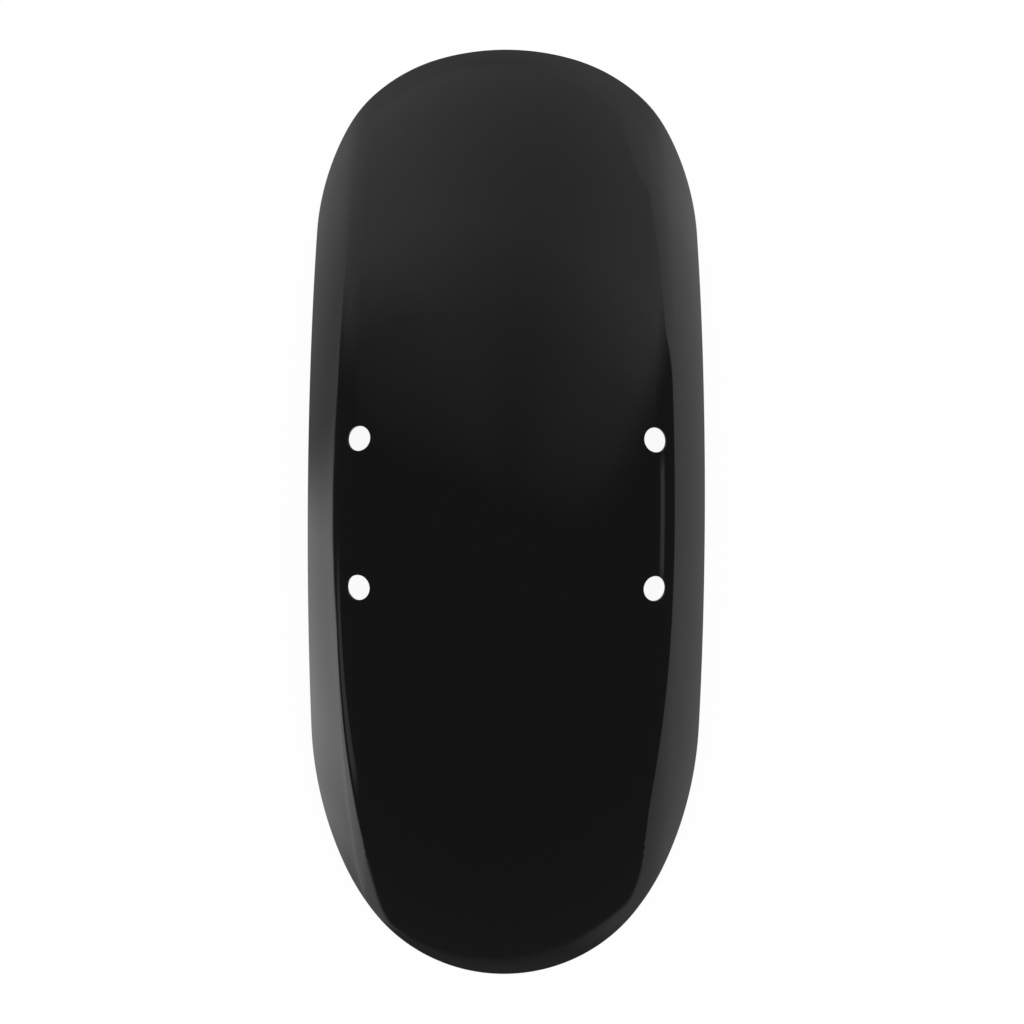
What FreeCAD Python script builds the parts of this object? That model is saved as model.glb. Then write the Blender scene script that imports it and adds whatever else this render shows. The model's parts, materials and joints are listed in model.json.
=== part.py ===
"""Short front fender for a motorbike: one pressed steel sheet with four bolt holes.

The sheet is worked out as a pressing is drawn: a cross-section is carried round the wheel's axle,
the skin that it leaves is trimmed to a plan outline, and the trimmed skin is given its thickness.
X runs forward to the nose, Y across the wheel and Z up. While it is built, the origin is the axle.
"""
import FreeCAD
import Part
import Sketcher
import math
import os

DIMENSIONS = (
    # the wheel that the fender covers sets the long curve
    ("crown_radius", 341.5, "axle to the top of the crown, outside"),
    # cross-section
    ("fender_width", 165.0, "over the two skirts, outside"),
    ("sheet_thickness", 1.5, "steel sheet"),
    ("crown_arc_radius", 170.0, "slight crown between the shoulders"),
    ("shoulder_radius", 30.0, "tight bend between the crown and the skirt"),
    ("shoulder_angle", 41.5, "slope where the bend gives way to the skirt, in degrees"),
    ("skirt_radius", 104.0, "long arc of the skirt, from the bend to the edge"),
    ("skirt_angle", 52.6, "slope of the skirt at its edge, in degrees"),
    # plan outline, measured from the highest line of the crown
    ("nose_reach", 205.0, "to the tip of the nose"),
    ("nose_straight", 120.6, "to where the sides begin to close in at the nose"),
    ("nose_tip_radius", 109.2, "blunt arc at the tip of the nose"),
    ("nose_tip_arc", 31.0, "degrees that the tip arc turns through"),
    ("nose_corner_arc", 48.5, "degrees that each corner arc turns through"),
    ("tail_reach", 204.8, "to the tip of the tail"),
    ("tail_tip_radius", 68.8, "round arc at the tip of the tail"),
    ("tail_tip_arc", 111.6, "degrees that the tip arc turns through"),
    ("trim_clearance", 0.1, "plan outline stands clear of the straight sides"),
    # bolt holes, square to the sheet
    ("hole_diameter", 10.0, "easy clearance for an 8 mm bolt"),
    ("hole_pitch_along", 59.7, "between the two holes of a side, in plan"),
    ("hole_pitch_across", 119.1, "between the two sides, in plan"),
    ("hole_setback", 0.9, "middle of the four holes, behind the highest line"),
)

doc = FreeCAD.newDocument("front_fender")


def make_sheet():
    """Spreadsheet of the driving dimensions, one named cell each."""
    sheet = doc.addObject("Spreadsheet::Sheet", "dims")
    for row, (name, value, note) in enumerate(DIMENSIONS, start=1):
        sheet.set(f"A{row}", name)
        sheet.set(f"B{row}", str(value))
        sheet.set(f"C{row}", note)
        sheet.setAlias(f"B{row}", name)
    doc.recompute()
    return sheet


dims = make_sheet()


def arc(center_x, center_y, radius, start_degrees, end_degrees):
    """Arc of a circle in a sketch's plane, run anticlockwise."""
    circle = Part.Circle(FreeCAD.Vector(center_x, center_y), FreeCAD.Vector(0, 0, 1), radius)
    return Part.ArcOfCircle(circle, math.radians(start_degrees), math.radians(end_degrees))


def line(start, end):
    """Straight run in a sketch's plane."""
    return Part.LineSegment(FreeCAD.Vector(*start), FreeCAD.Vector(*end))


def bind(sketch, expression, *constraint):
    """Add a dimension to a sketch and tie it to the spreadsheet."""
    index = sketch.addConstraint(Sketcher.Constraint(*constraint))
    sketch.setExpression(f"Constraints[{index}]", expression)


def tangent_chain(sketch, joints):
    """Join the ends of a sketch's runs smoothly; each joint is run, end, run, end."""
    for joint in joints:
        sketch.addConstraint(Sketcher.Constraint("Tangent", *joint))


START, END, CENTER = 1, 2, 3
X_AXIS, Y_AXIS = -1, -2
ORIGIN = (-1, 1)


def section_sketch():
    """Outer line of the cross-section: skirt, shoulder, crown, shoulder, skirt, all arcs."""
    half_width = dims.fender_width / 2
    skirt_sine = math.sin(math.radians(dims.skirt_angle))
    bend_sine = math.sin(math.radians(dims.shoulder_angle))
    bend_cosine = math.cos(math.radians(dims.shoulder_angle))
    skirt_y = half_width - dims.skirt_radius * skirt_sine
    shoulder_y = skirt_y + (dims.skirt_radius - dims.shoulder_radius) * bend_sine
    center_gap = dims.crown_arc_radius - dims.shoulder_radius
    joint = math.asin(shoulder_y / center_gap)
    crown_z = dims.crown_radius - dims.crown_arc_radius
    shoulder_z = crown_z + center_gap * math.cos(joint)
    skirt_z = shoulder_z - (dims.skirt_radius - dims.shoulder_radius) * bend_cosine
    crown_end, bend_end, edge = 90 - math.degrees(joint), 90 - dims.shoulder_angle, 90 - dims.skirt_angle

    sketch = doc.addObject("Sketcher::SketchObject", "section")
    upright = FreeCAD.Rotation(FreeCAD.Vector(1, 1, 1), 120)
    sketch.Placement = FreeCAD.Placement(FreeCAD.Vector(), upright)
    crown, right, left, right_skirt, left_skirt = sketch.addGeometry([
        arc(0, crown_z, dims.crown_arc_radius, crown_end, 180 - crown_end),
        arc(shoulder_y, shoulder_z, dims.shoulder_radius, bend_end, crown_end),
        arc(-shoulder_y, shoulder_z, dims.shoulder_radius, 180 - crown_end, 180 - bend_end),
        arc(skirt_y, skirt_z, dims.skirt_radius, edge, bend_end),
        arc(-skirt_y, skirt_z, dims.skirt_radius, 180 - bend_end, 180 - edge),
    ])
    tangent_chain(sketch, (
        (crown, START, right, END),
        (crown, END, left, START),
        (right, START, right_skirt, END),
        (left, END, left_skirt, START),
    ))
    sketch.addConstraint(Sketcher.Constraint("PointOnObject", crown, CENTER, Y_AXIS))
    sketch.addConstraint(Sketcher.Constraint("Equal", right, left))
    sketch.addConstraint(Sketcher.Constraint("Equal", right_skirt, left_skirt))
    sketch.addConstraint(Sketcher.Constraint("Symmetric", right_skirt, START, left_skirt, END, Y_AXIS))
    bind(sketch, "dims.crown_radius - dims.crown_arc_radius",
         "DistanceY", *ORIGIN, crown, CENTER, crown_z)
    bind(sketch, "dims.crown_arc_radius", "Radius", crown, dims.crown_arc_radius)
    bind(sketch, "dims.shoulder_radius", "Radius", right, dims.shoulder_radius)
    bind(sketch, "dims.skirt_radius", "Radius", right_skirt, dims.skirt_radius)
    bind(sketch, "dims.skirt_radius * sin(dims.skirt_angle * 1 deg)",
         "DistanceX", right_skirt, CENTER, right_skirt, START, dims.skirt_radius * skirt_sine)
    bind(sketch, "dims.skirt_radius * sin(dims.shoulder_angle * 1 deg)",
         "DistanceX", right_skirt, CENTER, right_skirt, END, dims.skirt_radius * bend_sine)
    bind(sketch, "dims.fender_width / 2", "DistanceX", *ORIGIN, right_skirt, START, half_width)
    return sketch


def nose_arcs(half_width):
    """Radii of the nose's corner and side arcs, which close the outline smoothly on the sides."""
    tip_turn = math.radians(dims.nose_tip_arc / 2)
    side_turn = tip_turn + math.radians(dims.nose_corner_arc)
    width_left = half_width - dims.nose_tip_radius * math.sin(tip_turn)
    length_left = dims.nose_reach - dims.nose_straight - dims.nose_tip_radius * (1 - math.cos(tip_turn))
    corner_width = math.sin(side_turn) - math.sin(tip_turn)
    corner_length = math.cos(tip_turn) - math.cos(side_turn)
    side_width = 1 - math.sin(side_turn)
    side_length = math.cos(side_turn)
    scale = corner_width * side_length - side_width * corner_length
    corner = (width_left * side_length - side_width * length_left) / scale
    side = (corner_width * length_left - corner_length * width_left) / scale
    return corner, side


def plan_sketch():
    """Trim outline from above: blunt nose, straight sides, long round tail."""
    half_width = dims.fender_width / 2 + dims.trim_clearance
    tip_turn = dims.nose_tip_arc / 2
    side_turn = tip_turn + dims.nose_corner_arc
    corner_radius, side_radius = nose_arcs(half_width)
    tip_x = dims.nose_reach - dims.nose_tip_radius
    corner_shift = dims.nose_tip_radius - corner_radius
    corner_x = tip_x + corner_shift * math.cos(math.radians(tip_turn))
    corner_y = corner_shift * math.sin(math.radians(tip_turn))
    side_y = half_width - side_radius

    tail_turn = dims.tail_tip_arc / 2
    tail_sine = math.sin(math.radians(tail_turn))
    tail_radius = (half_width - dims.tail_tip_radius * tail_sine) / (1 - tail_sine)
    tail_tip_x = dims.tail_tip_radius - dims.tail_reach
    tail_side_x = tail_tip_x + (tail_radius - dims.tail_tip_radius) * math.cos(math.radians(tail_turn))
    tail_side_y = half_width - tail_radius

    sketch = doc.addObject("Sketcher::SketchObject", "plan")
    nose_x = dims.nose_straight
    nose, corner_l, side_l, left, tail_l, tail, tail_r, right, side_r, corner_r = sketch.addGeometry([
        arc(tip_x, 0, dims.nose_tip_radius, -tip_turn, tip_turn),
        arc(corner_x, corner_y, corner_radius, tip_turn, side_turn),
        arc(nose_x, side_y, side_radius, side_turn, 90),
        line((nose_x, half_width), (tail_side_x, half_width)),
        arc(tail_side_x, tail_side_y, tail_radius, 90, 180 - tail_turn),
        arc(tail_tip_x, 0, dims.tail_tip_radius, 180 - tail_turn, 180 + tail_turn),
        arc(tail_side_x, -tail_side_y, tail_radius, 180 + tail_turn, 270),
        line((tail_side_x, -half_width), (nose_x, -half_width)),
        arc(nose_x, -side_y, side_radius, 270, 360 - side_turn),
        arc(corner_x, -corner_y, corner_radius, 360 - side_turn, 360 - tip_turn),
    ])
    loop = (nose, corner_l, side_l, left, tail_l, tail, tail_r, right, side_r, corner_r)
    following = loop[1:] + loop[:1]
    tangent_chain(sketch, [(run, END, after, START) for run, after in zip(loop, following)])
    sketch.addConstraint(Sketcher.Constraint("PointOnObject", nose, CENTER, X_AXIS))
    sketch.addConstraint(Sketcher.Constraint("PointOnObject", tail, CENTER, X_AXIS))
    sketch.addConstraint(Sketcher.Constraint("Horizontal", left))
    sketch.addConstraint(Sketcher.Constraint("Horizontal", right))
    for one, other in ((corner_l, corner_r), (side_l, side_r), (tail_l, tail_r)):
        sketch.addConstraint(Sketcher.Constraint("Equal", one, other))
    sketch.addConstraint(Sketcher.Constraint("Symmetric", left, START, right, END, X_AXIS))
    bind(sketch, "dims.fender_width / 2 + dims.trim_clearance",
         "DistanceY", *ORIGIN, left, START, half_width)
    bind(sketch, "dims.nose_straight", "DistanceX", *ORIGIN, left, START, nose_x)
    bind(sketch, "dims.nose_tip_radius", "Radius", nose, dims.nose_tip_radius)
    bind(sketch, "dims.nose_reach - dims.nose_tip_radius", "DistanceX", *ORIGIN, nose, CENTER, tip_x)
    bind(sketch, "dims.nose_tip_arc * 1 deg", "Angle", nose, math.radians(dims.nose_tip_arc))
    bind(sketch, "dims.nose_corner_arc * 1 deg", "Angle", corner_l, math.radians(dims.nose_corner_arc))
    bind(sketch, "dims.tail_tip_radius", "Radius", tail, dims.tail_tip_radius)
    bind(sketch, "dims.tail_tip_radius - dims.tail_reach", "DistanceX", *ORIGIN, tail, CENTER, tail_tip_x)
    bind(sketch, "dims.tail_tip_arc * 1 deg", "Angle", tail, math.radians(dims.tail_tip_arc))
    return sketch


def pressed_skin(section, plan):
    """Outer skin: the section carried round the axle, kept where the plan outline covers it."""
    sweep = doc.addObject("Part::Revolution", "sweep")
    sweep.Source = section
    sweep.Axis = FreeCAD.Vector(0, 1, 0)
    sweep.Base = FreeCAD.Vector(0, 0, 0)
    sweep.Angle = 180
    sweep.Symmetric = True
    sweep.Solid = False

    outline = doc.addObject("Part::Extrusion", "outline")
    outline.Base = plan
    outline.DirMode = "Custom"
    outline.Dir = FreeCAD.Vector(0, 0, 1)
    outline.Solid = True
    outline.setExpression("LengthFwd", "2 * dims.crown_radius")

    skin = doc.addObject("Part::Common", "skin")
    skin.Base = sweep
    skin.Tool = outline
    return skin


def thickened(skin):
    """The sheet itself, laid on the inside of the skin with its edges square to it."""
    sheet = doc.addObject("Part::Offset", "sheet")
    sheet.Source = skin
    sheet.Fill = True
    sheet.setExpression("Value", "dims.sheet_thickness")
    return sheet


def hole_layout():
    """Where a hole stands on the section, worked out from the dimensions.

    The holes may sit on the crown or on the shoulder, so the slope of the sheet and the distance
    from the axle are taken from whichever arc the holes' distance from the middle falls on.
    """
    sheet = doc.addObject("Spreadsheet::Sheet", "seat")
    center_gap = "(dims.crown_arc_radius - dims.shoulder_radius)"
    formulas = (
        ("across", "dims.hole_pitch_across / 2"),
        ("skirt_across", "dims.fender_width / 2 - dims.skirt_radius * sin(dims.skirt_angle * 1 deg)"),
        ("shoulder_across", "skirt_across + (dims.skirt_radius - dims.shoulder_radius)"
                            " * sin(dims.shoulder_angle * 1 deg)"),
        ("joint_slope", f"asin(shoulder_across / {center_gap})"),
        ("crown_slope", "asin(across / dims.crown_arc_radius)"),
        ("shoulder_slope", "asin((across - shoulder_across) / dims.shoulder_radius)"),
        ("slope", "crown_slope < joint_slope ? crown_slope : shoulder_slope"),
        ("crown_seat", "dims.crown_arc_radius * cos(slope)"),
        ("shoulder_seat", f"{center_gap} * cos(joint_slope) + dims.shoulder_radius * cos(slope)"),
        ("seat_radius", "dims.crown_radius - dims.crown_arc_radius"
                        " + (crown_slope < joint_slope ? crown_seat : shoulder_seat)"),
    )
    for row, (name, formula) in enumerate(formulas, start=1):
        sheet.set(f"A{row}", name)
        sheet.set(f"B{row}", f"={formula}")
        sheet.setAlias(f"B{row}", name)
        doc.recompute()
    return sheet


HOLE_ROWS = {
    "nose": "dims.hole_pitch_along / 2 - dims.hole_setback",
    "tail": "-dims.hole_pitch_along / 2 - dims.hole_setback",
}
HOLE_SIDES = {"left": 1, "right": -1}
DRILL_DEPTHS = 2  # sheet thicknesses that a drill reaches each side of the outer skin


def bolt_drill(row, side):
    """Cylinder square to the sheet at one bolt hole, centred on the outer skin."""
    drill = doc.addObject("Part::Cylinder", f"drill_{row}_{side}")
    drill.setExpression("Radius", "dims.hole_diameter / 2")
    drill.setExpression("Height", f"{2 * DRILL_DEPTHS} * dims.sheet_thickness")
    sign = HOLE_SIDES[side]
    round_the_axle = f"rotation(vector(0; 1; 0); asin(({HOLE_ROWS[row]}) / seat.seat_radius))"
    out_to_the_side = f"rotation(vector(1; 0; 0); {-sign} * seat.slope)"
    unturned = "rotation(vector(0; 0; 1); 0)"
    drill.setExpression("Placement", (
        f"placement(vector(0; 0; 0); {round_the_axle})"
        f" * placement(vector(0; {sign} * seat.across; seat.seat_radius); {out_to_the_side})"
        f" * placement(vector(0; 0; {-DRILL_DEPTHS} * dims.sheet_thickness); {unturned})"))
    return drill


def drilled(sheet, drills):
    """The finished fender: the sheet with its four bolt holes."""
    holes = doc.addObject("Part::MultiFuse", "bolt_holes")
    holes.Shapes = drills
    fender = doc.addObject("Part::Cut", "front_fender")
    fender.Base = sheet
    fender.Tool = holes
    fender.Label = "front_fender"
    return fender


def set_down(fender):
    """Move the finished fender so that it lies on Z = 0, centred in plan over the origin."""
    box = fender.Shape.optimalBoundingBox(False, False)
    fender.Placement.Base = FreeCAD.Vector(-box.Center.x, -box.Center.y, -box.ZMin)
    doc.recompute()


def check_document(fender, sheet):
    """Stop if any step failed, or if the holes took away nothing."""
    for item in doc.Objects:
        if {"Invalid", "Error"} & set(item.State):
            raise RuntimeError(f"{item.Name} failed: {item.State}")
    if fender.Shape.isNull() or not fender.Shape.isValid():
        raise RuntimeError("front_fender is not a valid shape")
    if len(fender.Shape.Solids) != 1:
        raise RuntimeError("front_fender is not one solid")
    if fender.Shape.Volume >= sheet.Shape.Volume:
        raise RuntimeError("the bolt holes cut nothing")


section = section_sketch()
plan = plan_sketch()
doc.recompute()
skin = pressed_skin(section, plan)
doc.recompute()
sheet = thickened(skin)
doc.recompute()
seat = hole_layout()
drills = [bolt_drill(row, side) for row in HOLE_ROWS for side in HOLE_SIDES]
doc.recompute()
fender = drilled(sheet, drills)
doc.recompute()
set_down(fender)
check_document(fender, sheet)

box = fender.Shape.optimalBoundingBox(False, False)
print(f"front_fender {box.XLength:.2f} x {box.YLength:.2f} x {box.ZLength:.2f} mm,",
      f"{fender.Shape.Volume / 1000:.2f} cm3")
for drill in drills:
    outward = drill.Placement.Rotation.multVec(FreeCAD.Vector(0, 0, 1))
    on_skin = drill.Placement.Base + outward * (DRILL_DEPTHS * dims.sheet_thickness)
    on_skin = fender.Placement.multVec(on_skin)
    print(drill.Name, [round(value, 4) for value in on_skin], [round(value, 6) for value in outward])

os.makedirs("parts", exist_ok=True)
fender.Shape.exportStep(f"parts/{fender.Label}.step")
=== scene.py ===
# %% [markdown]
# # A gloss black front fender
#
# The object is one sheet of pressed steel that covers the top of a motorbike's front wheel. It lies
# on a white floor with its crown up, and the camera looks straight down on it. A black gloss finish
# shows its shape only through what it mirrors, so this lesson spends its care on two things: a skin
# that is smooth to a hair's breadth, and a room that is worth mirroring.

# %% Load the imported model
import json
import math

import bpy
import numpy as np
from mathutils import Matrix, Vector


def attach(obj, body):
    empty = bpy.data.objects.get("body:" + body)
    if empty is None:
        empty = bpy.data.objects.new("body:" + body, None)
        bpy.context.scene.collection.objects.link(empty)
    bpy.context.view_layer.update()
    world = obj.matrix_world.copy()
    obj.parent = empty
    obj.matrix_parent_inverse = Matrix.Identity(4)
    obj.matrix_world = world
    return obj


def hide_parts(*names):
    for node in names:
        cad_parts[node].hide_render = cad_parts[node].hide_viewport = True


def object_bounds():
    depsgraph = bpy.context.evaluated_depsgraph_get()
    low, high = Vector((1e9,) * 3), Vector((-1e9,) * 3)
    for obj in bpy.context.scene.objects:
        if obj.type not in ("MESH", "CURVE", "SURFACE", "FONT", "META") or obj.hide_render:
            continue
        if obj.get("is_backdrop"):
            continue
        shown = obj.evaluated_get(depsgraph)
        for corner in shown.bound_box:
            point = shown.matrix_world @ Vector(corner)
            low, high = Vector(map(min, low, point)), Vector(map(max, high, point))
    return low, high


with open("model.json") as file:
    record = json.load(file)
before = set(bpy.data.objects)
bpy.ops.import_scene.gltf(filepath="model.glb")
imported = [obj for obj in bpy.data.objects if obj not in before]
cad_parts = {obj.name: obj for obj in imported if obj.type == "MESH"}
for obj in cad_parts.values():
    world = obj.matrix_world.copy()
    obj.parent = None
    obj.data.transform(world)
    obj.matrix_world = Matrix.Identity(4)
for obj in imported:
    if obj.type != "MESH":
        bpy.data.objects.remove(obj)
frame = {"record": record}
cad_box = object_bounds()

print("CAD box in metres:", [[round(float(v), 5) for v in corner] for corner in cad_box])

# %% [markdown]
# ## The section of the pressing
#
# Across the wheel, the sheet is a wide, slightly crowned arc. On each side it bends tightly into a
# shoulder and runs out in the long arc of the skirt. The press carries that section round the wheel's
# axle. It could be drawn as a curve and spun, but a formula gives more: the exact normal at every
# point, which a mirror finish needs, and the inner face as the same arcs on smaller radii.

# %% Section and skin
MM = 0.001

CROWN_RADIUS = 341.5 * MM  # wheel's axle to the top of the crown
CROWN_HEIGHT = 69.77 * MM  # top of the crown over the floor, as the fender lies
CROWN_ARC = 170 * MM  # section between the shoulders
SHOULDER_ARC = 30 * MM  # tight bend beside the crown
SHOULDER_SLOPE = math.radians(41.5)  # where the bend gives way to the skirt
SKIRT_ARC = 104 * MM  # long arc from the bend to the edge
SKIRT_SLOPE = math.radians(52.6)  # at the edge
HALF_WIDTH = 82.5 * MM
SHEET = 1.5 * MM

NOSE_REACH = 205 * MM  # from the highest line of the crown to the tip of the nose
TAIL_REACH = 204.8 * MM
TOP_X = (TAIL_REACH - NOSE_REACH) / 2
AXLE_Z = CROWN_HEIGHT - CROWN_RADIUS

skirt_y = HALF_WIDTH - SKIRT_ARC * math.sin(SKIRT_SLOPE)
shoulder_y = skirt_y + (SKIRT_ARC - SHOULDER_ARC) * math.sin(SHOULDER_SLOPE)
joint_slope = math.asin(shoulder_y / (CROWN_ARC - SHOULDER_ARC))
shoulder_depth = CROWN_ARC - (CROWN_ARC - SHOULDER_ARC) * math.cos(joint_slope)
skirt_depth = shoulder_depth + (SKIRT_ARC - SHOULDER_ARC) * math.cos(SHOULDER_SLOPE)

section_arc = np.array([CROWN_ARC, SHOULDER_ARC, SKIRT_ARC])
section_start = np.array([0, joint_slope, SHOULDER_SLOPE])  # slope where each arc starts
section_end = np.array([joint_slope, SHOULDER_SLOPE, SKIRT_SLOPE])
centre_y = np.array([0, shoulder_y, skirt_y])
centre_depth = np.array([CROWN_ARC, shoulder_depth, skirt_depth])  # under the top of the crown


def skin(x, y, inset=0.0):
    """Points and normals of the sheet over plan points, at a depth of `inset` under its outer face.

    The sine of the slope is the distance of y from the arc's centre over the arc's radius. The drop
    from the crown is the centre's depth less the radius times the cosine of the slope. The crown
    radius less that drop is the distance from the axle, and x then sets the angle round the axle.
    """
    side = np.abs(y)
    arc = section_arc - inset
    run = np.searchsorted((centre_y + arc * np.sin(section_end))[:-1], side)
    slope = np.arcsin((side - centre_y[run]) / arc[run])
    drop = centre_depth[run] - arc[run] * np.cos(slope)
    radius = CROWN_RADIUS - drop
    lean = np.arcsin((x - TOP_X) / radius)
    point = np.stack([x, y, AXLE_Z + radius * np.cos(lean)], axis=-1)
    normal = np.stack([np.sin(lean) * np.cos(slope), np.sign(y) * np.sin(slope),
                       np.cos(lean) * np.cos(slope)], axis=-1)
    return point, normal


skirt_edge, _ = skin(np.array([TOP_X]), np.array([HALF_WIDTH]))
print(f"skirt edge {skirt_edge[0, 2] / MM:.2f} mm over the floor at the middle of the fender")

# %% [markdown]
# ## The edge
#
# Seen from above, the nose is blunt, with three arcs on each side, and the tail is a rounder end of
# two. The arcs meet without a corner, so the edge is followed as a walk: the direction that it faces
# turns evenly along each run. That asks only for the radii and angles that a template maker would
# mark out, and the last radii follow from where the runs have to end.

# %% Plan outline of the left half, from the tip of the nose to the tip of the tail
NOSE_STRAIGHT = 120.6 * MM  # where the sides begin to close in
NOSE_TIP_ARC = 109.2 * MM
NOSE_TIP_TURN = math.radians(15.5)
NOSE_CORNER_TURN = math.radians(48.5)
TAIL_TIP_ARC = 68.8 * MM
TAIL_TIP_TURN = math.radians(55.8)

corner_facing = NOSE_TIP_TURN + NOSE_CORNER_TURN
corner_arc, side_arc = np.linalg.solve(
    [[math.sin(corner_facing) - math.sin(NOSE_TIP_TURN), 1 - math.sin(corner_facing)],
     [math.cos(NOSE_TIP_TURN) - math.cos(corner_facing), math.cos(corner_facing)]],
    [HALF_WIDTH - NOSE_TIP_ARC * math.sin(NOSE_TIP_TURN),
     NOSE_REACH - NOSE_STRAIGHT - NOSE_TIP_ARC * (1 - math.cos(NOSE_TIP_TURN))])
tail_side_arc = (HALF_WIDTH - TAIL_TIP_ARC * math.sin(TAIL_TIP_TURN)) / (1 - math.sin(TAIL_TIP_TURN))
tail_close = TAIL_TIP_ARC * (1 - math.cos(TAIL_TIP_TURN)) + tail_side_arc * math.cos(TAIL_TIP_TURN)

quarter = math.pi / 2
STRAIGHT = 3  # place of the straight run, which has no radius, in the lists of runs
run_turn = np.array([NOSE_TIP_TURN, NOSE_CORNER_TURN, quarter - corner_facing, 0,
                     quarter - TAIL_TIP_TURN, TAIL_TIP_TURN])
run_arc = np.array([NOSE_TIP_ARC, corner_arc, side_arc, 0, tail_side_arc, TAIL_TIP_ARC])
run_length = run_turn * run_arc
run_length[STRAIGHT] = NOSE_STRAIGHT + TAIL_REACH - tail_close
run_start = np.concatenate([[0], np.cumsum(run_length)])
run_facing = np.concatenate([[0], np.cumsum(run_turn)])
run_chord = run_length * np.sinc(run_turn / (2 * math.pi))
run_middle = run_facing[:-1] + run_turn / 2
run_x = TOP_X + NOSE_REACH - np.concatenate([[0], np.cumsum(run_chord * np.sin(run_middle))])
run_y = np.concatenate([[0], np.cumsum(run_chord * np.cos(run_middle))])


def outline(distance):
    """Plan points of the edge, and the direction each faces, at distances from the tip of the nose.

    On a run, the facing turns in proportion to the distance d. After a turn of t the point lies on a
    chord of length d * sin(t/2) / (t/2), at right angles to the facing half way through the turn.
    """
    run = np.clip(np.searchsorted(run_start, distance, side="right") - 1, 0, len(run_turn) - 1)
    ahead = distance - run_start[run]
    turn = ahead * run_turn[run] / run_length[run]
    chord = ahead * np.sinc(turn / (2 * math.pi))
    middle = run_facing[run] + turn / 2
    x = run_x[run] - chord * np.sin(middle)
    y = run_y[run] + chord * np.cos(middle)
    return x, y, run_facing[run] + turn


print(f"edge {2 * run_start[-1]:.3f} m round; it closes to {1e6 * abs(run_y[-1]):.2f} micrometres")

# %% [markdown]
# ## One sheet with two faces
#
# A ring of points follows the edge, and every point of it is joined to a spine along the middle of the
# crown. Going along one of those lines, round the rolled edge and back on the inner face gives a whole
# closed shell as one grid, with neat rows along the edge, where a row of wrinkles would show most.
# The steps are finer near the bolt holes, so that the holes come out round.

# %% Where the grid's lines lie
COARSE_STEP = 2.2 * MM
FINE_STEP = 0.75 * MM
HOLE_ROOM = 8 * MM  # finer steps this far to each side of a hole
STEP_SAMPLES = 8001  # places where the wanted steps are added up
SECTION_SAMPLES = 2001  # places where the section is measured to find the holes on it

holes = [mount for mount in frame["record"]["mounts"] if mount["kind"] == "bore"]
hole_places = np.array([mount["pos_m"] for mount in holes])
hole_axes = np.array([mount["axis"] for mount in holes])
hole_tops = hole_places + hole_axes * SHEET / 2


def steps(length, centres):
    """Places from 0 to a length: the wanted steps per metre are added up and shared out evenly."""
    place = np.linspace(0, length, STEP_SAMPLES)
    near = np.min(np.abs(place[:, None] - centres), axis=1) < HOLE_ROOM
    wanted = np.diff(place) / np.where(near, FINE_STEP, COARSE_STEP)[1:]
    count = np.concatenate([[0], np.cumsum(wanted)])
    return np.interp(np.linspace(0, count[-1], int(round(count[-1])) + 1), count, place)


section_run = np.concatenate([[0], np.cumsum(section_arc * (section_end - section_start))])


def across(distance):
    """Distance from the middle plane, by the distance along the section from the crown line.

    The slope grows along an arc by the distance over the radius, and the distance from the middle
    plane is that of the arc's centre plus the radius times the sine of the slope.
    """
    run = np.clip(np.searchsorted(section_run, distance, side="right") - 1, 0, len(section_arc) - 1)
    slope = section_start[run] + (distance - section_run[run]) / section_arc[run]
    return centre_y[run] + section_arc[run] * np.sin(slope)


hole_along = np.unique(np.round(run_start[STRAIGHT] + run_x[STRAIGHT] - hole_tops[:, 0], 6))
section_place = np.linspace(0, section_run[-1], SECTION_SAMPLES)
hole_across = np.interp(np.abs(hole_tops[:1, 1]), across(section_place), section_place)
along_steps = steps(run_start[-1], hole_along)
share_steps = across(steps(section_run[-1], hole_across)) / HALF_WIDTH
print(len(along_steps), "places along each side and", len(share_steps), "from spine to edge")

# %% [markdown]
# ## The rolled edge
#
# Shears leave a sharp edge, which is dressed and then painted, so the sheet ends in a small round. It
# catches a thin line of light all along the rim. A Bevel modifier could cut it, but the exact normals
# would be lost there. So two quarter circles are part of the grid itself.

# %% The sheet as one grid
EDGE_ROUND = 0.4 * MM  # the sheared edge, dressed and painted
ROUND_STEPS = 5
SPINE_REACH = 108 * MM  # half length of the spine that the ends fan out from


def unit(vector):
    """Vectors at unit length."""
    return vector / np.linalg.norm(vector, axis=-1, keepdims=True)


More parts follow.
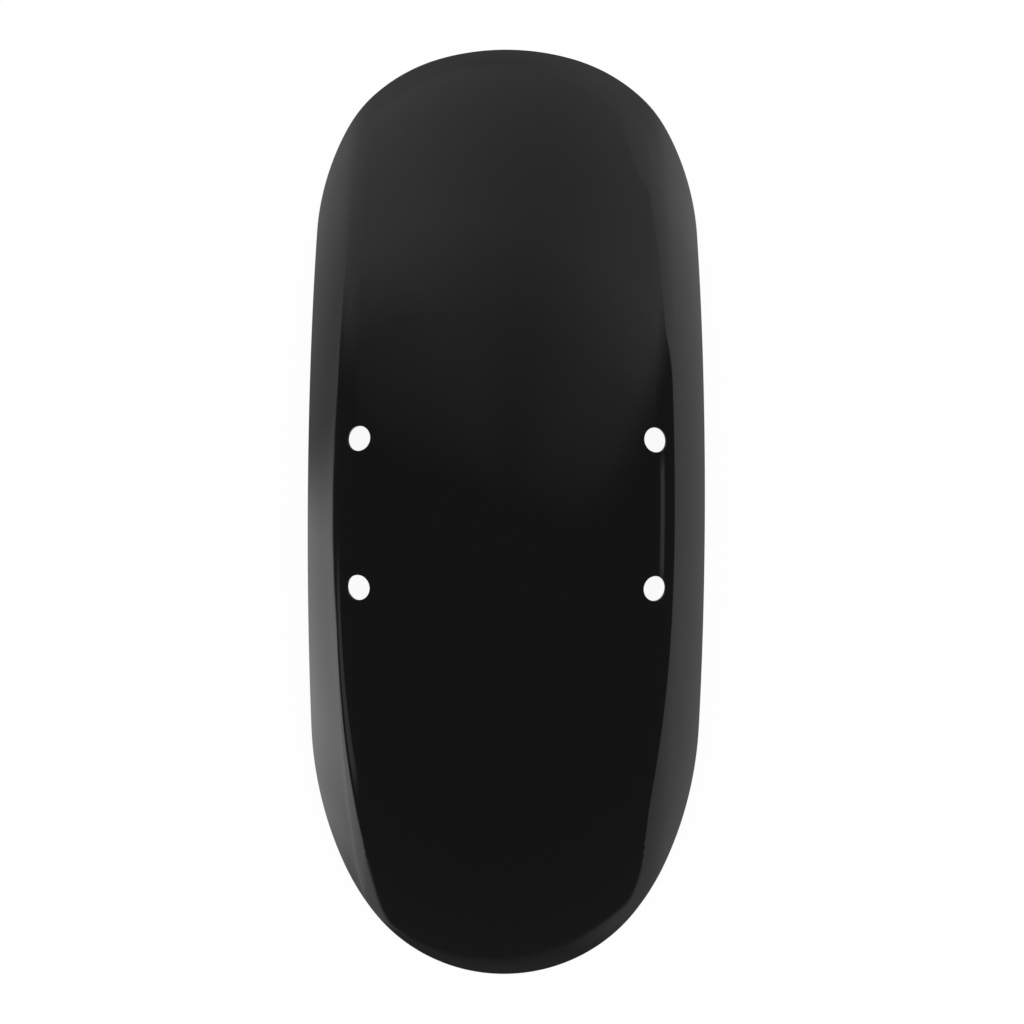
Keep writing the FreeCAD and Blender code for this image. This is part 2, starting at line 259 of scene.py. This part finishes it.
def sheet_grid():
    """Grid of points and normals: outer face, rolled edge, inner face, for each place round the edge.

    A point of a face is spine + share * (edge - spine) in plan, set on the skin. The edge is a wall
    square to the sheet, with a quarter circle into each face.
    """
    x, y, facing = outline(along_steps)
    x = np.concatenate([x, x[-2:0:-1]])
    y = np.concatenate([y, -y[-2:0:-1]])
    facing = np.concatenate([facing, -facing[-2:0:-1]])
    edge, normal = skin(x, y)
    run = np.stack([-np.sin(facing), np.cos(facing)], axis=-1)
    rise = -np.sum(run * normal[:, :2], axis=-1) / normal[:, 2]
    outward = np.cross(unit(np.column_stack([run, rise])), normal)

    rim = edge - EDGE_ROUND * outward
    spine = np.column_stack([np.clip(rim[:, 0], TOP_X - SPINE_REACH, TOP_X + SPINE_REACH), 0 * y])
    plan = spine[:, None] + share_steps[:, None] * (rim[:, :2] - spine)[:, None]
    outer, outer_normal = skin(plan[..., 0], plan[..., 1])
    inner = outer - SHEET * outer_normal

    turn = np.linspace(0, quarter, ROUND_STEPS + 1)
    bow = np.concatenate([np.sin(turn[1:]), np.cos(turn[:-1])])
    lift = np.concatenate([np.cos(turn[1:]), -np.sin(turn[:-1])])
    depth = np.repeat([EDGE_ROUND, SHEET - EDGE_ROUND], ROUND_STEPS)
    roll_normal = bow[:, None] * outward[:, None] + lift[:, None] * normal[:, None]
    roll = rim[:, None] - depth[:, None] * normal[:, None] + EDGE_ROUND * roll_normal
    return (np.concatenate([outer, roll, inner[:, ::-1]], axis=1),
            np.concatenate([outer_normal, roll_normal, -outer_normal[:, ::-1]], axis=1))


sheet, sheet_normal = sheet_grid()
sheet_box = [reach(sheet, axis=(0, 1)).round(5) for reach in (np.min, np.max)]
print("sheet grid", sheet.shape[:2], "from", sheet_box[0], "to", sheet_box[1])

# %% [markdown]
# ## The bolt holes
#
# Two holes on each shoulder take the bolts of the fork bracket. They are pierced square to the sheet,
# so each leans outwards with it. A Boolean modifier would leave long thin faces that spoil the mirror
# round the hole. Here a small window of the grid is taken out instead, and rings of points run from
# the window's frame to the hole's lip, down its wall and out again on the inner face.

# %% Lining of a hole
LIP_ROUND = 0.4 * MM
COLLAR_STEPS = 5
SLIDE_ROUNDS = 6  # more than enough to close the gap to the skin


def slide(point, axis, inset):
    """Points moved along an axis until they meet the skin: each step closes the gap along its normal."""
    for _ in range(SLIDE_ROUNDS):
        on_skin, normal = skin(point[..., 0], point[..., 1], inset)
        gap = np.sum((on_skin - point) * normal, axis=-1) / (normal @ axis)
        point = point + gap[..., None] * axis
    return point, normal


def collar(frame_loop, place, axis, lip_radius, inset):
    """Rings on one face from a window's frame to the hole's lip, with the directions from the axis.

    In the plane square to the axis, a ring's radius goes evenly from that of the frame to the lip's.
    """
    reach = frame_loop - place
    flat = reach - (reach @ axis)[:, None] * axis
    radius = np.linalg.norm(flat, axis=-1)
    radial = flat / radius[:, None]
    share = np.linspace(0, 1, COLLAR_STEPS + 1)[:, None]
    ring = radius[:, None, None] * (1 - share) + lip_radius * share
    point, normal = slide(place + ring * radial[:, None], axis, inset)
    point[:, 0] = frame_loop
    return point, normal, radial[:, None]


def hole_lining(outer_loop, inner_loop, place, axis, radius):
    """Grid of points and normals from the outer window's frame, through the hole, to the inner one's."""
    outer, outer_normal, outer_radial = collar(outer_loop, place, axis, radius + LIP_ROUND, 0.0)
    inner, inner_normal, inner_radial = collar(inner_loop, place, axis, radius + LIP_ROUND, SHEET)
    turn = np.linspace(0, quarter, ROUND_STEPS + 1)[1:, None]
    upper_normal = np.cos(turn) * axis - np.sin(turn) * outer_radial
    lower_normal = -np.cos(turn) * axis - np.sin(turn) * inner_radial
    upper = outer[:, -1:] - LIP_ROUND * axis + LIP_ROUND * upper_normal
    lower = inner[:, -1:] + LIP_ROUND * axis + LIP_ROUND * lower_normal
    points = [outer, upper, lower[:, ::-1], inner[:, ::-1]]
    normals = [outer_normal, upper_normal, lower_normal[:, ::-1], -inner_normal[:, ::-1]]
    return np.concatenate(points, axis=1), np.concatenate(normals, axis=1)


print(COLLAR_STEPS, "rings lead from a window's frame to a hole's lip")

# %% [markdown]
# ## The windows
#
# A window is the block of grid cells round a hole, on both faces. The holes could be typed in here, but
# their places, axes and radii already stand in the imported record, so the scene follows the CAD model.
# The frame of a window is the first ring of its lining, which leaves no gap to fill.

# %% Window and lining of each hole
WINDOW = 6.8 * MM  # from the middle of a hole to the frame of its window


def window_frame(top):
    """Rows and columns of the grid's window round a hole, and the loop of its frame, clockwise."""
    outer = sheet[:, :len(share_steps)]
    middle = np.unravel_index(np.argmin(np.linalg.norm(outer - top, axis=-1)), outer.shape[:2])
    row_gap = np.linalg.norm(outer[:, middle[1]] - outer[middle], axis=-1)
    column_gap = np.linalg.norm(outer[middle[0]] - outer[middle], axis=-1)
    rows = np.flatnonzero(row_gap < WINDOW)
    columns = np.flatnonzero(column_gap < WINDOW)
    first, last, low, high = rows[0], rows[-1], columns[0], columns[-1]
    row_loop = np.concatenate([np.arange(first, last), np.full(high - low, last),
                               np.arange(last, first, -1), np.full(high - low, first)])
    column_loop = np.concatenate([np.full(last - first, low), np.arange(low, high),
                                  np.full(last - first, high), np.arange(high, low, -1)])
    return (first, last, low, high), row_loop, column_loop


last_column = sheet.shape[1] - 1
cells_kept = np.ones((sheet.shape[0], last_column), dtype=bool)
patches = [(sheet, sheet_normal)]
for mount, place, axis, top in zip(holes, hole_places, hole_axes, hole_tops):
    (first, last, low, high), row_loop, column_loop = window_frame(top)
    cells_kept[first:last, low:high] = False
    cells_kept[first:last, last_column - high:last_column - low] = False
    radius = mount["dims"]["r_mm"] * MM
    patches.append(hole_lining(sheet[row_loop, column_loop], sheet[row_loop, last_column - column_loop],
                               place, axis, radius))
    print(mount["name"], len(row_loop), "points round a hole of", round(2 * radius / MM, 2), "mm")

# %% [markdown]
# ## Joining the grids
#
# Each grid gives four-sided faces. Points that fall on the same spot become one vertex, which closes
# the spine, the fans at its ends and the frames of the windows. The formula's own normals go on the
# mesh, so the mirror doesn't show where the faces change size.

# %% Vertices and faces
WELD = 0.0001 * MM  # points nearer than this are one


def grid_quads(rows, columns, start):
    """Vertex numbers of the faces of a grid whose rows run in a ring."""
    row, column = np.meshgrid(np.arange(rows), np.arange(columns - 1), indexing="ij")
    after = (row + 1) % rows
    corners = [row * columns + column, row * columns + column + 1,
               after * columns + column + 1, after * columns + column]
    return start + np.stack(corners, axis=-1)


def joined(grids, kept):
    """Welded vertices, normals and faces of the sheet's grid and the linings; a face is marked inner."""
    points = np.concatenate([point.reshape(-1, 3) for point, _ in grids])
    directions = np.concatenate([normal.reshape(-1, 3) for _, normal in grids])
    starts = np.cumsum([0] + [point.shape[0] * point.shape[1] for point, _ in grids])
    corners = [grid_quads(*point.shape[:2], start) for (point, _), start in zip(grids, starts)]
    sheet_inner = np.arange(kept.shape[1]) >= len(share_steps) + 2 * ROUND_STEPS
    lining_inner = np.arange(corners[1].shape[1]) > COLLAR_STEPS + 2 * ROUND_STEPS
    marks = [np.broadcast_to(sheet_inner, kept.shape)[kept]]
    marks += [np.broadcast_to(lining_inner, corner.shape[:2]).ravel() for corner in corners[1:]]
    cells = np.concatenate([corners[0][kept]] + [corner.reshape(-1, 4) for corner in corners[1:]])
    _, first, number = np.unique(np.round(points / WELD).astype(np.int64), axis=0,
                                 return_index=True, return_inverse=True)
    return points[first], directions[first], number.reshape(-1)[cells], np.concatenate(marks)


vertices, normals, quads, inner = joined(patches, cells_kept)
print(len(vertices), "vertices and", len(quads), "faces,", int(inner.sum()), "of them on the inside")

# %% [markdown]
# ## The mesh
#
# Blender takes vertices and faces as plain lists. At the ends of the spine, two corners of a face fall
# together, and a face may not name a vertex twice, so there it goes in as a triangle. The faces inside
# the fender get the second material, which is for the primer.

# %% The fender's mesh
outer_fan = quads[:, 0] == quads[:, 3]
inner_fan = quads[:, 1] == quads[:, 2]
whole = ~outer_fan & ~inner_fan
fans = quads[outer_fan][:, [0, 1, 2]].tolist() + quads[inner_fan][:, [0, 1, 3]].tolist()
faces = quads[whole].tolist() + fans
face_inner = np.concatenate([inner[whole], inner[outer_fan], inner[inner_fan]])

mesh = bpy.data.meshes.new("fender")
mesh.from_pydata(vertices, [], faces)
mesh.polygons.foreach_set("use_smooth", np.ones(len(faces), dtype=bool))
mesh.polygons.foreach_set("material_index", face_inner.astype(np.int32))
mesh.normals_split_custom_set_from_vertices(normals)
fender = bpy.data.objects.new("fender", mesh)
scene = bpy.context.scene
scene.collection.objects.link(fender)
mesh.calc_loop_triangles()
print(len(mesh.loop_triangles), "triangles")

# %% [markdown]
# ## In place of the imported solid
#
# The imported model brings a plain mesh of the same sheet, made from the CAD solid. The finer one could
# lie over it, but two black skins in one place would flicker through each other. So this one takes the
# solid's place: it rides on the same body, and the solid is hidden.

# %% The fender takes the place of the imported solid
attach(fender, "root")
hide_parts("front_fender")
print(fender.name, "stands in for front_fender")

# %% [markdown]
# ## Nodes by hand
#
# A finish is a tree of nodes, and a few helpers keep such a tree readable. One turns an sRGB hex
# colour, as a paint chart gives it, into the linear numbers that the shader works with. One adds a
# node and sets or links its inputs. The others are short names for the nodes that come up most.

# %% Helpers for materials


def linear(hex_colour):
    """Linear RGBA of an sRGB hex colour."""
    value = np.array([int(hex_colour[i:i + 2], 16) for i in (1, 3, 5)]) / 255
    value = np.where(value <= 0.04045, value / 12.92, ((value + 0.055) / 1.055) ** 2.4)
    return (*value, 1.0)


def node(tree, kind, settings=None, inputs=None):
    """Add a node, set its properties, and set each input to a value or link it to a socket."""
    new = tree.nodes.new(kind)
    for name, value in (settings or {}).items():
        setattr(new, name, value)
    for name, value in (inputs or {}).items():
        if isinstance(value, bpy.types.NodeSocket):
            tree.links.new(value, new.inputs[name])
        else:
            new.inputs[name].default_value = value
    return new


def new_material(name):
    """A material with an empty node tree, and that tree."""
    material = bpy.data.materials.new(name)
    material.use_nodes = True
    material.node_tree.nodes.clear()
    return material, material.node_tree


def noise(tree, grain, detail):
    """Noise from 0 to 1 on the object, with grains of a size in metres."""
    place = node(tree, "ShaderNodeTexCoord").outputs["Object"]
    return node(tree, "ShaderNodeTexNoise", inputs={
        "Vector": place, "Scale": 1 / grain, "Detail": detail}).outputs["Fac"]


def bump(tree, height, distance, **under):
    """Normal of a surface raised by a height from 0 to 1 times a distance, over another bump or none."""
    return node(tree, "ShaderNodeBump", inputs={
        "Height": height, "Distance": distance, **under}).outputs["Normal"]


def ranged(tree, value, source=(0, 1), target=(0, 1), smooth=False):
    """Value carried from one range to another and held at its ends, in a straight or an S-shaped way."""
    shape = "SMOOTHSTEP" if smooth else "LINEAR"
    return node(tree, "ShaderNodeMapRange", {"interpolation_type": shape}, {
        "Value": value, "From Min": source[0], "From Max": source[1],
        "To Min": target[0], "To Max": target[1]}).outputs["Result"]


print("mid grey in linear numbers:", [round(float(v), 4) for v in linear("#808080")])

# %% [markdown]
# ## Gloss black stoving enamel
#
# The outside is sprayed and baked. Enamel flows out nearly flat, so it mirrors the room sharply, but
# two things are left in it: the orange peel of the spray, and the long shallow waves of the pressed
# sheet under it. Both are far too low to model as faces, so two bump nodes carry them.

# %% Gloss black stoving enamel
ENAMEL_COLOUR = "#0b0b0c"
ENAMEL_INDEX = 1.40  # refractive index, which sets how strongly it mirrors
ENAMEL_ROUGHNESS = (0.025, 0.05)
PEEL = 1.8 * MM  # width of an orange-peel dimple
PEEL_HEIGHT = 0.0004 * MM
PEEL_DETAIL = 0.0
WAVE = 24 * MM  # width of a wave of the sheet
WAVE_HEIGHT = 0.05 * MM
WAVE_DETAIL = 1.0


def gloss_enamel():
    """Black enamel: almost no colour of its own, and a sharp mirror of the room."""
    material, tree = new_material("gloss_black_stoving_enamel")
    wave = noise(tree, WAVE, WAVE_DETAIL)
    waved = bump(tree, wave, WAVE_HEIGHT)
    peeled = bump(tree, noise(tree, PEEL, PEEL_DETAIL), PEEL_HEIGHT, Normal=waved)
    shader = node(tree, "ShaderNodeBsdfPrincipled", inputs={
        "Base Color": linear(ENAMEL_COLOUR), "IOR": ENAMEL_INDEX, "Normal": peeled,
        "Roughness": ranged(tree, wave, target=ENAMEL_ROUGHNESS)})
    node(tree, "ShaderNodeOutputMaterial", inputs={"Surface": shader.outputs["BSDF"]})
    return material


fender.data.materials.append(gloss_enamel())
print(fender.data.materials[0].name)

# %% [markdown]
# ## Dull black primer
#
# Nobody polishes the side that faces the tyre. It has the primer that the sheet was dipped in and the
# dry overspray that drifted round the edge, so it is as dark as the outside, but grainy and dull. The
# grain is noise, which sets both a low bump and how rough the coat is.

# %% Dull black primer
PRIMER_COLOUR = "#161616"
PRIMER_INDEX = 1.45
PRIMER_ROUGHNESS = (0.45, 0.7)
OVERSPRAY = 0.9 * MM  # grains of dry paint, drawn coarser than they are so that they show
OVERSPRAY_HEIGHT = 0.03 * MM
OVERSPRAY_DETAIL = 3.0


def dull_primer():
    """Primer and overspray: a rough black coat that scatters light and hardly mirrors anything."""
    material, tree = new_material("dull_black_primer")
    grain = noise(tree, OVERSPRAY, OVERSPRAY_DETAIL)
    shader = node(tree, "ShaderNodeBsdfPrincipled", inputs={
        "Base Color": linear(PRIMER_COLOUR), "IOR": PRIMER_INDEX,
        "Normal": bump(tree, grain, OVERSPRAY_HEIGHT),
        "Roughness": ranged(tree, grain, target=PRIMER_ROUGHNESS)})
    node(tree, "ShaderNodeOutputMaterial", inputs={"Surface": shader.outputs["BSDF"]})
    return material


fender.data.materials.append(dull_primer())
print(fender.data.materials[1].name)

# %% [markdown]
# ## The light of the paper
#
# Gloss black shows little but what it mirrors, and a skirt that slopes at half a right angle mirrors
# the paper beside it. So the paper's light is given by compass direction: modest ahead of the nose,
# white on the right, strongest on the left of the tail, where it lies in the window's light, and dark
# behind the tail, where the photographer stands. Lamps could light the paper so, but each would light
# the crown as well. A colour ramp, bent round the compass, lights the paper alone.

# %% Light of the paper by direction
# turn from straight ahead of the nose, in degrees to the left, and the strength there
PAPER_LIGHT = ((-168, 0.20), (-148, 0.70), (-95, 0.98), (-60, 0.95), (-42, 0.90), (-21, 0.62), (0, 0.52),
               (40, 0.78), (76, 0.68), (97, 2.15), (124, 2.35), (141, 1.75), (152, 1.05), (160, 0.20))
BRIGHTEST = max(strength for _, strength in PAPER_LIGHT)


def maths(tree, operation, *values):
    """Result of a Math node."""
    return node(tree, "ShaderNodeMath", {"operation": operation}, dict(enumerate(values))).outputs[0]


def paper_light(tree, turn):
    """Strength of the paper's light at an angle round Z, in radians from straight ahead of the nose."""
    compass = ranged(tree, turn, (-math.pi, math.pi))
    ramp = node(tree, "ShaderNodeValToRGB", inputs={"Fac": compass})
    ramp.color_ramp.interpolation = "EASE"
    stops = ramp.color_ramp.elements
    while len(stops) < len(PAPER_LIGHT):
        stops.new(0.5)
    for stop, (degrees, strength) in zip(stops, PAPER_LIGHT):
        stop.position = degrees / 360 + 0.5
        stop.color = (*[strength / BRIGHTEST] * 3, 1)
    return maths(tree, "MULTIPLY", ramp.outputs["Color"], BRIGHTEST)


print(len(PAPER_LIGHT), "stops round the compass")

# %% [markdown]
# ## The white floor
#
# The fender lies on white paper. The camera sees the paper as plain white and a mirror sees its light,
# both by way of Light Path. A share of real diffuse paper stays in the mix, so that the fender still
# casts its shadow.

# %% Floor
FLOOR_REACH = 4.0  # to the nose, the tail and the right
FLOOR_LEFT = 1.2  # the paper ends nearer on the left
WINDOW_REACH = (0.12, 0.55)  # the window's light on the paper grows between these, to the left and back
WINDOW_GAIN = 1.3
PAPER_COLOUR = "#f4f4f4"
PAPER_SHARE = 0.06  # diffuse share that keeps the shadow


def ray_kinds(tree):
    """Two switches: 1 for the camera's rays, straight or through glass, and 1 for rays off a mirror."""
    path = node(tree, "ShaderNodeLightPath").outputs
    straight = maths(tree, "MAXIMUM", path["Is Camera Ray"], path["Is Transmission Ray"])
    return straight, path["Is Glossy Ray"]


def white_paper():
    """Matt white paper: white to the eye, and to a mirror a glow with painted light and shade, a pool of
    window light left of the tail and shade behind it.
    """
    material, tree = new_material("matt_white_paper")
    place = node(tree, "ShaderNodeTexCoord").outputs["Object"]
    way = node(tree, "ShaderNodeSeparateXYZ", inputs={"Vector": place}).outputs
    turn = maths(tree, "ARCTAN2", way["Y"], way["X"])
    # painted light and shade: the paper's glow for mirrors is brighter in a painted pool of window light
    # to the left and back, and darker in painted shade behind the tail
    back = maths(tree, "MINIMUM", maths(tree, "SUBTRACT", way["Y"], way["X"]), way["Y"])
    gain = ranged(tree, back, WINDOW_REACH, (1.0, WINDOW_GAIN))
    lit = maths(tree, "MULTIPLY", paper_light(tree, turn), gain)

    straight, mirrored = ray_kinds(tree)
    seen = maths(tree, "MAXIMUM", straight, mirrored)
    strength = ranged(tree, mirrored, target=(1.0, lit))
    glow = node(tree, "ShaderNodeEmission", inputs={"Strength": strength})
    paper = node(tree, "ShaderNodeBsdfDiffuse", inputs={"Color": linear(PAPER_COLOUR)})
    mix = node(tree, "ShaderNodeMixShader", inputs={
        0: maths(tree, "MULTIPLY", seen, 1 - PAPER_SHARE), 1: paper.outputs["BSDF"],
        2: glow.outputs["Emission"]})
    node(tree, "ShaderNodeOutputMaterial", inputs={"Surface": mix.outputs["Shader"]})
    return material


floor_mesh = bpy.data.meshes.new("floor")
floor_mesh.from_pydata([(-FLOOR_REACH, -FLOOR_REACH, 0), (FLOOR_REACH, -FLOOR_REACH, 0),
                        (FLOOR_REACH, FLOOR_LEFT, 0), (-FLOOR_REACH, FLOOR_LEFT, 0)], [], [(0, 1, 2, 3)])
floor = bpy.data.objects.new("floor", floor_mesh)
scene.collection.objects.link(floor)
floor.data.materials.append(white_paper())
floor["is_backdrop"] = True
print("floor", 2 * FLOOR_REACH, "by", FLOOR_REACH + FLOOR_LEFT, "m")

# %% [markdown]
# ## The wall ahead of the nose
#
# The crown mirrors the ceiling, and each end mirrors the wall that it leans towards. They are dim,
# apart from the wall ahead of the nose, whose glow slides up the front half of the crown and fades out
# near the bolt holes. Walls could be built, but only their mirror image is ever seen. So the room is
# given in the world, as a function of direction: its height over the horizon and its turn to the left.

# %% Wall ahead
ROOM = 0.12  # strength of the dim ceiling and walls
WALL_TURN = math.radians(-12)  # the glow reaches highest here
WALL_ROUND = 0.28  # how much lower it reaches to the sides, for each radian squared
WALL_TOP = np.radians([38, 58])  # one half of the glow fades out between these heights
WALL_FADE = (0.03, 0.52)  # the other half grows between these forward shares of a direction
WALL_AIM = math.radians(2)  # middle of the glow from side to side
WALL_SIDE = np.radians([57, 74])  # full and no glow to each side of that middle
WALL_SPREAD = np.radians([36, 75])  # between these heights it grows wider
WALL_NARROWING = (1.0, 0.6)  # share of the way to the side that counts there
WALL_LIGHT = (0.44, 0.70)  # where it reaches highest, and to the sides
WALL_GROWS = math.radians(52)  # from the one to the other


def falling(tree, value, limits, smooth=False):
    """1 up to the first limit, 0 from the second on."""
    return ranged(tree, value, limits, (1.0, 0.0), smooth)


def apart(tree, value, middle):
    """How far a value is from a middle, either way."""
    return maths(tree, "ABSOLUTE", maths(tree, "SUBTRACT", value, middle))


def front_wall(tree, way, height, turn):
    """Glow of the wall ahead: half of it ends low and half high, and it reaches less high to the sides.

    The lower half falls with the height plus the square of the turn from the highest place. The upper
    half grows with the share of the direction that points to that place.
    """
    off = apart(tree, turn, WALL_TURN)
    lifted = maths(tree, "MULTIPLY_ADD", maths(tree, "MULTIPLY", off, off), WALL_ROUND, height)
    forward = maths(tree, "MULTIPLY_ADD", way["X"], math.cos(WALL_TURN),
                    maths(tree, "MULTIPLY", way["Y"], math.sin(WALL_TURN)))
    halves = maths(tree, "ADD", falling(tree, lifted, WALL_TOP), ranged(tree, forward, WALL_FADE))
    light_of_half = ranged(tree, off, (0, WALL_GROWS), np.array(WALL_LIGHT) / 2, smooth=True)
    glow = maths(tree, "MULTIPLY", halves, light_of_half)
    aside = maths(tree, "MULTIPLY", apart(tree, turn, WALL_AIM),
                  ranged(tree, height, WALL_SPREAD, WALL_NARROWING))
    return maths(tree, "MULTIPLY_ADD", glow, falling(tree, aside, WALL_SIDE, smooth=True), ROOM)


print("wall", round(ROOM + max(WALL_LIGHT), 2), "at its brightest, in a room of", ROOM)

# %% [markdown]
# ## The far edge of the paper
#
# Where a skirt stops mirroring the paper and begins to mirror the room, a border runs along it. Its
# course shows how high the paper's far edge stands in each direction: it leans from right to left, it
# is turned up at both corners behind the tail, and it rises in a bank beside the nose. A bent sheet
# could be modelled for it, but a height for each turn says the same with a few numbers.

# %% Far edge of the paper
PAPER_RISE = math.radians(1.2)  # height of the edge straight ahead
PAPER_LEAN = math.radians(3.5)  # it is this much higher on the right, and lower on the left
CORNER_RISE = math.radians(11.5)  # height of the turned-up corners
CORNER_NEAR = np.radians([96, 140])  # where the paper begins to rise, and is highest
CORNER_FAR = np.radians([140, 154])  # where it begins to fall, and is down again
CORNER_SKEW = math.radians(2.5)  # the right corner is this much nearer than the left
BANK_RISE = math.radians(9)
BANK_TURN = math.radians(-49)
BANK_HALF = np.radians([14, 25])  # half its length at the top, and at its foot


def paper_edge(tree, way, turn):
    """Height of the paper's far edge: the lean, two raised corners and a bank, added up."""
    skewed = apart(tree, turn, CORNER_SKEW)
    corner = maths(tree, "SUBTRACT", falling(tree, skewed, CORNER_FAR, smooth=True),
                   falling(tree, skewed, CORNER_NEAR, smooth=True))
    bank = falling(tree, apart(tree, turn, BANK_TURN), BANK_HALF, smooth=True)
    edge = maths(tree, "MULTIPLY_ADD", corner, CORNER_RISE, PAPER_RISE)
    edge = maths(tree, "MULTIPLY_ADD", way["Y"], -PAPER_LEAN, edge)
    return maths(tree, "MULTIPLY_ADD", bank, BANK_RISE, edge)


print(f"paper up to {math.degrees(PAPER_RISE + PAPER_LEAN + CORNER_RISE):.1f} degrees over the horizon")

# %% [markdown]
# ## A tube lamp and a ledge
#
# Two thin lines are left. A tube lamp on the right shows on the shoulder between two holes, and a pale
# ledge over the paper's edge on the left runs beside the strip there. Each is a bar of light in the
# world, with soft ends, since an area lamp would light the floor too.

# %% Bars of light
TUBE_PLACE = np.radians([29.5, -91])  # height and turn
TUBE_HALF = np.radians([5, 13])  # half its thickness and half its length
TUBE_LIGHT = 0.7
LEDGE_PLACE = np.radians([6.3, 114])  # height over the paper's edge, and turn
LEDGE_HALF = np.radians([3.8, 22])
LEDGE_LIGHT = 0.55


def soft_bar(tree, height, turn, place, half):
    """1 on a bar of light at a height and turn, easing to 0 from half way out to its ends."""
    shares = [falling(tree, apart(tree, way, middle), (reach / 2, reach), smooth=True)
              for way, middle, reach in zip((height, turn), place, half)]
    return maths(tree, "MULTIPLY", *shares)


print("tube", TUBE_LIGHT, "and ledge", LEDGE_LIGHT, "over the room")

# %% [markdown]
# ## The world
#
# The pieces of the room come together in the world's node tree. It takes the height and turn of each
# direction, shows the paper's light below the far edge and the room above it, and adds the two bars.
# An image of a studio could stand there instead, but numbers can be set to suit one photograph. The
# camera itself, and what it would see through glass, gets plain white.

# %% World
EDGE_BLUR = (-0.01, 0.01)  # radians over which paper gives way to room


def studio_world():
    """World by direction: paper below its far edge, the room above it, and two bars of light."""
    world = bpy.data.worlds.new("dim_studio")
    world.use_nodes = True
    tree = world.node_tree
    tree.nodes.clear()
    direction = node(tree, "ShaderNodeTexCoord").outputs["Generated"]
    way = node(tree, "ShaderNodeSeparateXYZ", inputs={"Vector": direction}).outputs
    height = maths(tree, "ARCSINE", way["Z"])
    turn = maths(tree, "ARCTAN2", way["Y"], way["X"])
    above = maths(tree, "SUBTRACT", height, paper_edge(tree, way, turn))

    paper = falling(tree, above, EDGE_BLUR)
    strength = ranged(tree, paper, target=(front_wall(tree, way, height, turn), paper_light(tree, turn)))
    ledge = soft_bar(tree, above, turn, LEDGE_PLACE, LEDGE_HALF)
    strength = maths(tree, "MULTIPLY_ADD", ledge, LEDGE_LIGHT, strength)
    tube = soft_bar(tree, height, turn, TUBE_PLACE, TUBE_HALF)
    strength = maths(tree, "MULTIPLY_ADD", tube, TUBE_LIGHT, strength)

    straight, _ = ray_kinds(tree)
    sky = node(tree, "ShaderNodeBackground", inputs={
        "Color": linear("#ffffff"), "Strength": ranged(tree, straight, target=(strength, 1.0))})
    node(tree, "ShaderNodeOutputWorld", inputs={"Surface": sky.outputs["Background"]})
    return world


scene.world = studio_world()
scene.view_settings.view_transform = "Standard"
print("world with", len(scene.world.node_tree.nodes), "nodes")

# %% [markdown]
# ## A soft lamp
#
# Mirrors apart, the paper, the primer and the little colour that the enamel has need light. One wide
# lamp overhead gives it, and it draws the soft shadow under the edge. A sun would draw a hard one. The
# lamp is hidden from mirrors, so that no white disk lies on the crown.

# %% Overhead lamp
LAMP_HEIGHT = 1.5
LAMP_SIZE = 1.4
LAMP_WATTS = 21

lamp = bpy.data.lights.new("overhead_lamp", "AREA")
lamp.shape = "DISK"
lamp.size = LAMP_SIZE
lamp.energy = LAMP_WATTS
overhead = bpy.data.objects.new("overhead_lamp", lamp)
overhead.location = (0, 0, LAMP_HEIGHT)
overhead.visible_glossy = False
overhead.visible_camera = False
scene.collection.objects.link(overhead)
print("lamp", LAMP_SIZE, "m wide,", LAMP_HEIGHT, "m over the floor")

# %% [markdown]
# ## The camera
#
# The camera hangs over the middle of the crown and looks down, with the nose at the top of the
# picture. It is held by hand, less than a degree out of true. From half a metre away, the crown is
# much nearer than the ends, which makes the sides of the outline bow and the ends look shorter.

# %% Camera
CAMERA_PLACE = (-1.4 * MM, 4.7 * MM, 581.2 * MM)
CAMERA_TURN = (0.11, -0.73, -89.75)  # degrees
FRAME_PIXELS = 1024
FOCAL_PIXELS = 1308.7
SENSOR_WIDTH = 36.0  # millimetres

camera_data = bpy.data.cameras.new("camera")
camera_data.sensor_width = SENSOR_WIDTH
camera_data.lens = SENSOR_WIDTH * FOCAL_PIXELS / FRAME_PIXELS
camera = bpy.data.objects.new("camera", camera_data)
camera.location = CAMERA_PLACE
camera.rotation_euler = [math.radians(degrees) for degrees in CAMERA_TURN]
scene.collection.objects.link(camera)
scene.camera = camera
print(f"lens {camera_data.lens:.2f} mm, {camera.location.z / MM:.1f} mm over the floor")

# %% [markdown]
# ## Sizes
#
# The finished fender should fill the box of the CAD model. The largest gap between the two boxes is
# printed.

# %% Sizes
visual_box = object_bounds()
gap = np.abs(np.subtract(visual_box, cad_box)).max()
print(f"visual box within {gap / MM:.3f} mm of the CAD box")
